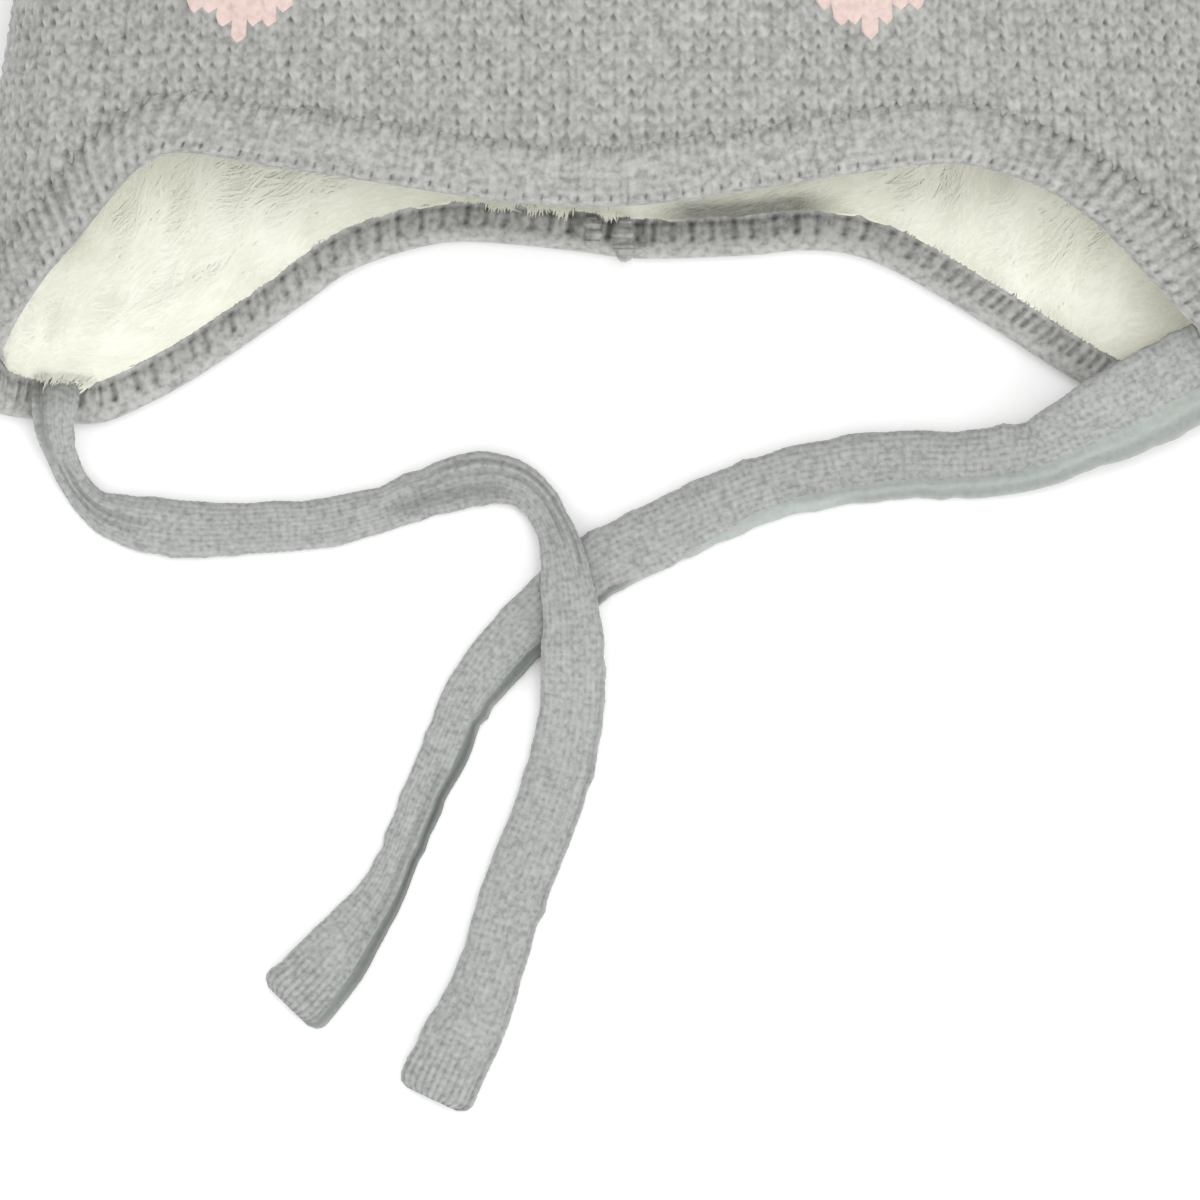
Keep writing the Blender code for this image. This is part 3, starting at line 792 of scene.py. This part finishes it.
def rib_band(finish, seed):
    """The band as one closed ring of ribs."""
    rng = np.random.default_rng(seed)
    steps = np.linspace(0.0, 1.0, 4001)
    once_round = 2 * half_girth(FLAP_DROP / 2)
    slope = np.abs(rim_up(steps + 0.002) - rim_up(steps - 0.002)) / (0.004 * once_round)
    brow_side = np.clip((0.25 - np.abs(steps - 0.5)) / 0.05, 0.0, 1.0)
    pitch = RIB_AT_BROW + (RIB_AT_ARCH - RIB_AT_BROW) * np.clip(slope * 2, 0.0, 1.0) * brow_side
    run = np.hypot(np.diff(steps) * once_round, np.diff(rim_up(steps)))
    counted = np.concatenate([[0.0], np.cumsum(run / (pitch[1:] / 2 + pitch[:-1] / 2))])
    ribs = int(counted[-1] / 2) * 2
    per_rib = 4
    stations = ribs * per_rib
    share = np.interp(np.arange(stations) / stations * counted[-1], counted, steps)
    slope = np.interp(share, steps, slope)
    arch = np.clip((slope - 0.1) / 0.4, 0.0, 1.0)
    arch = np.convolve(np.tile(arch, 3), np.ones(41) / 41, mode="same")[stations:2 * stations]
    phase = np.arange(stations) % per_rib / per_rib
    groove = 0.5 + 0.5 * np.cos(2 * math.pi * phase)
    arch = arch * np.interp(share, steps, brow_side) * np.where(share < 0.5, 0.95, 1.0)
    second = np.arange(stations) % (2 * per_rib) < per_rib
    holes = np.where(phase == 0, 1.0, 0.0) * np.where(second, 1.0, arch)
    groove = groove * np.where(second, 1.0, 0.62 + 0.38 * arch)
    across, depth = band_ring()
    outer = np.clip((0.5 - depth) / 0.3, 0.0, 1.0)
    inner = np.clip((depth - 0.5) / 0.3, 0.0, 1.0)
    # Outer face: grooves between the ribs, deepest at the arches' seam, faint courses along the
    # edge, and a row of small holes where the rib turns over the edge, all dented in and painted in
    # shade.
    course = 0.5 + 0.5 * np.cos(2 * math.pi * across * BAND_WIDTH / RIB_COURSE)
    body = np.clip((across + 0.01) / 0.08, 0.0, 1.0)
    turned = np.exp(-((across - 0.14) / 0.045) ** 2)
    seam = np.exp(-((across - 0.90) / 0.06) ** 2)
    rib_depth = rng.uniform(0.65, 1.15, ribs).repeat(per_rib)[:, None]
    opening = 0.3 + 1.9 * across[None, :]
    gap = outer[None, :] * (
        body[None, :] * groove[:, None] * (0.35 + arch[:, None] * rib_depth * opening)
        + body[None, :] * 0.4 * course[None, :] * (1 - 0.8 * arch[:, None])
        + 0.5 * (1.0 - body[None, :])
        + 1.7 * turned[None, :] * holes[:, None]
        + seam[None, :] * (0.3 + holes[:, None] * (1.0 + 1.0 * arch[:, None]))
    )
    # The brow's rounded free edge is painted darker with shade.
    edge = np.exp(-(across / 0.05) ** 2)[None, :] * np.interp(share, steps, brow_side)[:, None]
    gap += edge * (0.55 + 0.35 * groove[:, None])
    # Inner face: pale loops stand side by side between the smooth lip and the plush, with gaps that
    # widen at both ends; the gaps, the holes by the lip and the linking row are dented in and painted
    # dark with shade. On the right side they are pulled slanting and thin.
    inside = across[None, :] * BAND_WIDTH
    pulled = np.clip((share - 0.09) / 0.02, 0.0, 1.0) * np.clip((0.26 - share) / 0.02, 0.0, 1.0)
    loop_pitch = LOOP_PITCH + (LOOP_PITCH_AT_RIGHT - LOOP_PITCH) * pulled
    pulled = pulled[:, None]
    way = np.interp(share, steps, np.concatenate([[0.0], np.cumsum(run)]))
    loops = np.concatenate([[0.0], np.cumsum(np.diff(way) / loop_pitch[1:])])
    number = np.round(loops).astype(int)
    shift = rng.normal(0.0, 0.09, number.max() + 1)[number]
    strength = rng.uniform(0.75, 1.15, number.max() + 1)[number][:, None]
    from_gap = ((loops - number + shift) * loop_pitch)[:, None]
    loop_gap = np.exp(-(from_gap / (0.0005 - 0.00008 * pulled)) ** 2)
    slit = np.exp(-((np.abs(from_gap) - loop_pitch[:, None] / 2) / 0.0003) ** 2)
    along_loop = (
        np.clip((inside - BAND_LIP) / 0.0005, 0.0, 1.0) * np.clip((LOOP_END - inside) / 0.0004, 0.0, 1.0)
    )
    lip_holes = np.exp(-((inside - BAND_LIP - 0.0004) / 0.0005) ** 2)
    linking = np.exp(-((inside - LOOP_END + 0.0002) / 0.00045) ** 2)
    inner_gap = (
        strength * loop_gap * (1.9 * along_loop + 1.1 * lip_holes * (1 - 0.5 * pulled))
        + linking * (1 - 0.7 * pulled) * (1.1 + 1.1 * loop_gap)
        + 0.9 * slit * along_loop * (1 - pulled) * np.clip((inside - 0.0036) / 0.0006, 0.0, 1.0)
        + 0.2 * groove[:, None]
    )
    x_along = ((share + 0.5) % 1.0 - 0.5) * once_round
    for hollow in SEAM_HOLLOWS:
        beside = np.exp(-((x_along - hollow) / 0.0008) ** 2)[:, None]
        inner_gap = inner_gap + 1.9 * beside * np.clip((inside - 0.0018) / 0.001, 0.0, 1.0)
    # To the right of the seam the brow lies low over the nape and shades it.
    shaded = np.clip((x_along - 0.001) / 0.006, 0.0, 1.0) * np.clip((0.034 - x_along) / 0.008, 0.0, 1.0)
    inner_gap = inner_gap + 0.5 * shaded[:, None] * np.clip((inside - 0.0034) / 0.001, 0.0, 1.0)
    # The inner face is painted a little lighter overall, as light on its loops.
    gap += inner[None, :] * (inner_gap - 0.35)
    # Each rib shows its own shades of the yarn.
    tone = rng.normal(0.0, 1.0, (ribs, BAND_ROUND // 3 + 1)).repeat(per_rib, axis=0)
    tone = tone.repeat(3, axis=1)[:, :BAND_ROUND]
    gap += rng.normal(0.0, 0.1, gap.shape)
    height = -RIB_DEPTH * gap
    lift = -depth[None, :] * BAND_THICKNESS
    lean_at, lean_by = np.array(RIB_LEAN, float).T
    lean = np.tan(np.radians(np.interp(share, lean_at, lean_by)))
    lean_share = lean[:, None] * across[None, :] * BAND_WIDTH / once_round
    place_share, place_up = from_edge((share[:, None] + lean_share) % 1.0, across[None, :] * BAND_WIDTH)
    outwards = np.where(depth < 0.5, 1.0, -1.0) * np.clip(np.abs(depth - 0.5) / 0.25, 0.0, 1.0)
    points = hat_cloth(place_share, place_up, lift + height * outwards[None, :] + 0.0003 * outer[None, :])
    points[..., 2] = np.maximum(points[..., 2], 0.0)
    shade = np.clip(0.93 - 0.3 * gap + 0.08 * tone, 0.0, 1.0)
    around = len(across)
    here = np.arange(stations)[:, None] * around
    there = (np.arange(stations)[:, None] + 1) % stations * around
    k = np.arange(around)[None, :]
    n = (k + 1) % around
    quads = np.stack([here + k, here + n, there + n, there + k], axis=-1).reshape(-1, 4)
    return cloth_piece("rim_band_ribbed", points, quads[:, ::-1].tolist(), [finish], shade)


def back_seam(finish, seed):
    """The turned-in ends of the band, two lumpy ridges of stitches across its inner face."""
    rng = np.random.default_rng(seed)
    points, faces, shades = [], [], []
    steps, sides = 44, 14
    turn = 2 * math.pi * np.arange(sides) / sides
    for ridge, (away, radius, from_width, to_width) in enumerate(SEAM_RIDGES):
        t = np.arange(steps) / (steps - 1)
        across = from_width + (to_width - from_width) * t
        lumps = 1.0 + 0.10 * np.sin(2 * math.pi * t * 3 + ridge * 2) + rng.normal(0.0, 0.04, steps)
        thick = radius * lumps * np.sqrt(np.clip(1.0 - (2 * t - 1) ** 4, 0.02, 1.0))
        sway = away + 0.0004 * np.sin(t * 5 + ridge)
        place_share, place_up = from_edge(sway / (2 * half_girth(FLAP_DROP / 2)), across)
        raised = -(BAND_THICKNESS + thick[:, None] * (0.2 + 0.7 * np.sin(turn)[None, :]))
        beside = thick[:, None] * np.cos(turn)[None, :] / (2 * half_girth(FLAP_DROP / 2))
        points.append(hat_cloth(place_share[:, None] + beside, place_up[:, None], raised).reshape(-1, 3))
        # The stitches are painted as faint slanting rows of shade, and the ridge's foot is painted in
        # shade.
        gap = 0.5 + 0.5 * np.cos(2 * math.pi * t[:, None] * 3.5 + 3 * np.abs(np.cos(turn))[None, :])
        gap = gap * 0.35 + 1.6 * np.clip(0.35 - np.sin(turn), 0.0, 1.0)[None, :]
        shades.append(np.clip(1.0 - 0.33 * gap + rng.normal(0.0, 0.1, gap.shape), 0.0, 1.0).ravel())
        first = ridge * steps * sides
        faces += [[first + k for k in face] for face in tube_faces(steps, sides)]
        faces.append([first + k for k in range(sides)][::-1])
        faces.append([first + (steps - 1) * sides + k for k in range(sides)])
    return cloth_piece("back_seam", np.concatenate(points), faces, [finish], np.concatenate(shades))


# The same yarn in a firmer rib: as soft and dull, with deeper painted shade in its grooves.
grey_ribbing = melange_finish("grey_melange_cotton_acrylic_rib", "#B5B5B2", "#A8A8A5", "#949491", 0.34)
rim_band = rib_band(grey_ribbing, 31)
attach(rim_band, "root")
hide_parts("rim_band")
seam_ridges = back_seam(grey_ribbing, 32)
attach(seam_ridges, "root")


# The plush lining. Cream polyester plush on a knitted back, sewn in at the band's inner edge.
# Its long soft pile lies over in one direction and hangs over the band a little.
KNIT_WALL = 0.0022
LINING_WALL = 0.005
LINING_COLUMNS = 420
LINING_ROWS = 90
LINING_SIDE_ROWS = 58
LINING_LUMP = 0.0005
PILE_FROM = 0.0072
PILE_LIE = 0.00005
PILE_JOINTS = 4


def lining_lift(share, up, inside):
    """How far below the hat's outer surface the pile's ground lies."""
    round_way = 2 * math.pi * share
    lumps = LINING_LUMP * np.sin(23 * round_way + 170 * up) * np.sin(31 * round_way - 260 * up)
    edge = np.clip((inside - PILE_FROM) / 0.007, 0.0, 1.0)
    return -(KNIT_WALL + 0.0003 + LINING_WALL * (0.56 + 0.40 * edge * (2 - edge))) + lumps


def pile_shade(share, up, inside):
    """How deep in the brow's shade the plush lies, where the brow is low over the nape."""
    x = ((share + 0.5) % 1.0 - 0.5) * 2 * half_girth(up)
    along = np.clip((x - 0.002) / 0.008, 0.0, 1.0) * np.clip((0.037 - x) / 0.009, 0.0, 1.0)
    left = np.clip((x + 0.034) / 0.010, 0.0, 1.0) * np.clip(-x / 0.004, 0.0, 1.0)
    near = np.clip((0.0101 - inside) / 0.0016, 0.0, 1.0)
    return along * (0.28 + 0.57 * near) + 0.10 * left


def lining_ground(finish):
    """The knitted backing that the pile grows from, closed at the crown."""
    share = np.arange(LINING_COLUMNS) / LINING_COLUMNS
    steps = (np.arange(LINING_SIDE_ROWS + 1) / LINING_SIDE_ROWS) ** 1.4
    start_share, start_up = from_edge(share, PILE_FROM)
    side = start_up[None, :] + (DOME_START - start_up[None, :]) * steps[:, None]
    dome = dome_levels(LINING_ROWS - LINING_SIDE_ROWS + 1)[1:]
    up = np.vstack([side, np.repeat(dome[:, None], LINING_COLUMNS, axis=1)])
    steps = np.concatenate([steps, np.ones(len(dome))])
    across = start_share[None, :] + (share - start_share)[None, :] * np.clip(steps * 2, 0, 1)[:, None]
    inside = np.maximum(edge_distance(across, up), PILE_FROM)
    points = hat_cloth(across, up, lining_lift(across, up, inside) + PILE_LIE)
    pole = points[-1].mean(axis=0)
    rows = LINING_ROWS + 1
    here = np.arange(rows - 1)[:, None] * LINING_COLUMNS
    k = np.arange(LINING_COLUMNS)[None, :]
    n = (k + 1) % LINING_COLUMNS
    quads = np.stack(
        [here + k, here + n, here + LINING_COLUMNS + n, here + LINING_COLUMNS + k], axis=-1)
    faces = quads.reshape(-1, 4).tolist()
    last = (rows - 1) * LINING_COLUMNS
    faces += [[last + k, last + (k + 1) % LINING_COLUMNS, rows * LINING_COLUMNS]
              for k in range(LINING_COLUMNS)]
    dusk = pile_shade(across, up, inside).ravel()
    shade = np.append(np.where(dusk > 0, -dusk, 0.9), 0.9)
    made = cloth_piece(
        "plush_lining_ground", np.vstack([points.reshape(-1, 3), pole]), faces, [finish], shade)
    return made


def plush_pile(name, count, shares, reach, lie, hang, rise, lock, clumps, finish, seed):
    """Locks of pile as narrow curved ribbons that lie over the ground, even or in clumps."""
    rng = np.random.default_rng(seed)
    share = rng.uniform(*shares, count)
    hang = np.full(count, hang)
    if clumps:
        clump = rng.integers(0, clumps, count)
        share = rng.uniform(*shares, clumps)[clump] + rng.normal(0.0, 0.0014, count)
        hang = hang * rng.uniform(0.2, 1.0, clumps)[clump]
    depth = PILE_FROM + reach * rng.uniform(0.0, 1.0, count) ** 1.4
    root_share, root_up = from_edge(share, depth)
    once_round = 2 * half_girth(root_up)
    # The pile lies down towards the left tip, in soft swirls.
    lean = math.radians(lie) + 0.3 * np.sin(2 * math.pi * 7 * root_share + 60 * root_up)
    lean += 0.22 * np.sin(2 * math.pi * 17 * root_share - 140 * root_up) + rng.normal(0.0, 0.17, count)
    curl = rng.normal(0.0, 0.25, count)
    length = rng.uniform(0.55, 1.0, count) * lock
    tufts = np.sin(2 * math.pi * 31 * root_share) * np.sin(2 * math.pi * 47 * root_share + 1.0)
    least = PILE_FROM - 0.0001 - 0.0002 * tufts - hang * rng.uniform(0.0, 1.0, count)
    # Locks whose tips would pass the edge are shortened and straightened until they don't.
    for _ in range(4):
        tip_share = root_share - np.cos(lean + curl) * length / once_round
        tip_up = root_up - np.sin(lean + curl) * length
        tip_inside = edge_distance(tip_share, tip_up)
        over = tip_inside < least
        shorter = np.clip((depth - least) / np.maximum(depth - tip_inside, 1e-5), 0.2, 0.95)
        length *= np.where(over, shorter, 1.0)
        curl *= np.where(over, 0.5, 1.0)
    length = np.maximum(length, 0.0008)
    joints = PILE_JOINTS
    points = np.zeros((count, joints, 2, 3))
    width = rng.uniform(0.04, 0.07, count) * lock
    height = rng.uniform(0.00001, 0.00008, count)
    soft_normals = np.zeros((count, joints, 2, 3))
    dusk = np.zeros((count, joints, 2))
    for j in range(joints):
        t = j / (joints - 1)
        way = lean + curl * t
        go_share = root_share - np.cos(way) * length * t / once_round
        go_up = root_up - np.sin(way) * length * t
        inside = np.maximum(edge_distance(go_share, go_up), PILE_FROM - 0.002)
        lift = lining_lift(go_share, go_up, inside) - height - rise * t - 0.00006 * math.sin(math.pi * t)
        soft_normals[:, j, :] = -hat_normals(go_share, go_up)[:, None, :]
        dusk[:, j, :] = pile_shade(go_share, go_up, inside)[:, None]
        middle = hat_cloth(go_share, go_up, lift)
        wide = width * (0.35, 1.0, 0.85, 0.3)[j]
        aside_share = go_share + np.sin(way) * wide / once_round
        aside_up = go_up - np.cos(way) * wide
        other = hat_cloth(aside_share, aside_up, lift)
        points[:, j, 0], points[:, j, 1] = middle, other
    base = np.arange(count)[:, None] * joints * 2 + np.arange(joints - 1)[None, :] * 2
    quads = np.stack([base, base + 2, base + 3, base + 1], axis=-1).reshape(-1, 4)
    tone = np.repeat(rng.uniform(0.0, 1.0, count), joints * 2).reshape(count, joints, 2)
    tone = np.where(dusk > 0, 0.2 * tone - dusk, tone)
    made = cloth_piece(name, points, quads.tolist(), [finish], tone)
    # Each fibre is lit as the soft pile round it is.
    made.data.normals_split_custom_set_from_vertices(soft_normals.reshape(-1, 3).tolist())
    return made


# Polyester plush: cream, almost white where the pile catches light, soft-edged in shade.
def plush_finish(name, light, middle, dark):
    """Pile whose locks differ a little in shade."""
    made, shader = new_finish(name, 0.85, sheen=0.5)
    place = add(made, "ShaderNodeTexCoord")["Object"]
    tone = add(made, "ShaderNodeAttribute", {"attribute_name": "tone_and_painted_shade"})["Fac"]
    # Soft clouds about 8 mm across, where the pile lies a little differently: painted light and shade,
    # as such pile catches the light unevenly.
    clouds = add(made, "ShaderNodeTexNoise", Vector=place, Scale=120.0, Detail=3.0)["Fac"]
    lock_tone = add(made, "ShaderNodeMath", {"operation": "MAXIMUM"}, i0=tone, i1=0.0)[0]
    blend = add(
        made, "ShaderNodeMath", {"operation": "MULTIPLY_ADD"}, i0=lock_tone, i1=0.35, i2=clouds,
    )[0]
    level = add(made, "ShaderNodeMapRange", Value=blend, i1=0.4, i2=1.0, i3=0.0, i4=1.0)[0]
    ramp = add(made, "ShaderNodeValToRGB", Fac=level)
    stops = ramp["Color"].node.color_ramp.elements
    stops[0].color, stops[1].color = linear(dark), linear(light)
    stops.new(0.5).color = linear(middle)
    # Plush that lies in deep shade has a tone below 0.
    shade = add(made, "ShaderNodeMapRange", Value=tone, i1=-1.0, i2=0.0, i3=0.15, i4=1.0)[0]
    shown = add(
        made, "ShaderNodeMix", {"data_type": "RGBA", "blend_type": "MULTIPLY"},
        i0=1.0, i6=ramp["Color"], i7=shade,
    )[2]
    made.node_tree.links.new(shown, shader.inputs["Base Color"])
    return made


cream_ground = plush_finish("cream_polyester_plush_ground", "#F3F3E7", "#EFEFE1", "#E8E8DA")
cream_pile = plush_finish("cream_polyester_plush_pile", "#F7F7EB", "#F0F0E3", "#E6E6D7")
lining = lining_ground(cream_ground)
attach(lining, "root")
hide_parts("plush_lining")
# The pile in growths: how many locks, between which shares, how far in from the band, the
# direction they lie in (degrees), how far they hang over the band, how far their tips rise off
# the ground, their length, and in how many clumps they grow (0 for an even pile).
for pile_name, locks, shares, reach, lie, hang, rise, lock, clumps, pile_seed in (
    ("plush_pile_nape", 31000, (-0.27, 0.27), 0.045, 34, 0.0001, 0.0, 0.0085, 0, 41),
    ("plush_pile_brow", 9000, (0.27, 0.73), 0.025, 34, 0.0002, 0.0, 0.0085, 0, 42),
    ("plush_fringe", 9000, (-0.27, 0.27), 0.002, 60, 0.0005, 0.0002, 0.0030, 0, 43),
    ("plush_tufts_at_nape", 900, (-0.056, -0.008), 0.002, 80, 0.0028, 0.0008, 0.0045, 12, 45),
    ("plush_tufts_at_left_tie", 240, (-0.216, -0.180), 0.001, 78, 0.0030, 0.0022, 0.0046, 14, 44),
):
    pile = plush_pile(
        pile_name, locks, shares, reach, lie, hang, rise, lock, clumps, cream_pile, pile_seed)
    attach(pile, "root")


# The ears. Each is a rounded pocket of the same jersey, lightly filled with wadding, and sewn
# to the fold of the crown along its open edge.
EAR_HALF_WIDTH = 0.019
EAR_HEIGHT = 0.028
EAR_THICKNESS = 0.0085
EAR_LEVEL = DOME_START + 0.87 * DOME_HEIGHT
EAR_STITCH_DEPTH = 0.00045


def knitted_ear(name, side, finish, seed):
    """A flattened pocket with stitches, standing square to the crown's fold."""
    rng = np.random.default_rng(seed)
    share = 0.25 if side > 0 else 0.75
    seat = hat_shell(share, EAR_LEVEL)
    outward = hat_normals(np.array(share), np.array(EAR_LEVEL))
    outward = np.array([outward[0], outward[1], 0.0])
    outward /= np.linalg.norm(outward)
    across = np.cross(outward, (0.0, 0.0, 1.0))
    stitches, courses = 15, 12
    columns = stitches * 4
    rows = courses * 3
    around = np.arange(columns * 2)
    level = -0.25 + 1.25 * np.sin(np.linspace(0.0, math.pi / 2, rows + 1))
    level = np.minimum(level, 0.9995)
    turn = math.pi * around / columns
    half = np.sqrt(1 - np.clip(level, 0.0, 1.0) ** 2)
    x = np.cos(turn)[None, :] * half[:, None]
    puff = np.abs(np.sin(turn)) ** 0.8 * np.sign(np.sin(turn))
    z = puff[None, :] * np.sqrt(half)[:, None]
    gap = np.choose(around % 4, (1.0, 0.12, 0.55, 0.12))[None, :]
    gap = gap + np.choose(np.arange(rows + 1) % 3, (0.55, 0.08, 0.12))[:, None]
    gap = gap * np.clip(half[:, None] * 2, 0, 1) + rng.normal(0.0, 0.08, x.shape)
    shrink = 1.0 - EAR_STITCH_DEPTH * gap / (EAR_THICKNESS / 2)
    beside = (x * EAR_HALF_WIDTH)[..., None]
    out_from_seat = (level[:, None] * EAR_HEIGHT)[..., None]
    above = (z * shrink * EAR_THICKNESS / 2)[..., None]
    points = seat + beside * across + out_from_seat * outward + above * np.array((0.0, 0.0, 1.0))
    faces = tube_faces(rows + 1, columns * 2)
    faces.append([rows * columns * 2 + k for k in range(columns * 2)])
    # The gaps between the stitches are dented in and painted in shade.
    shade = np.clip(1.0 - 0.46 * gap, 0.0, 1.0)
    made = cloth_piece(name, points, faces, [finish], shade)
    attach(made, "root")
    return made


left_ear = knitted_ear("left_ear_knitted", -1, grey_jersey, 51)
right_ear = knitted_ear("right_ear_knitted", 1, grey_jersey, 52)
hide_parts("left_ear")
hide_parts("right_ear")
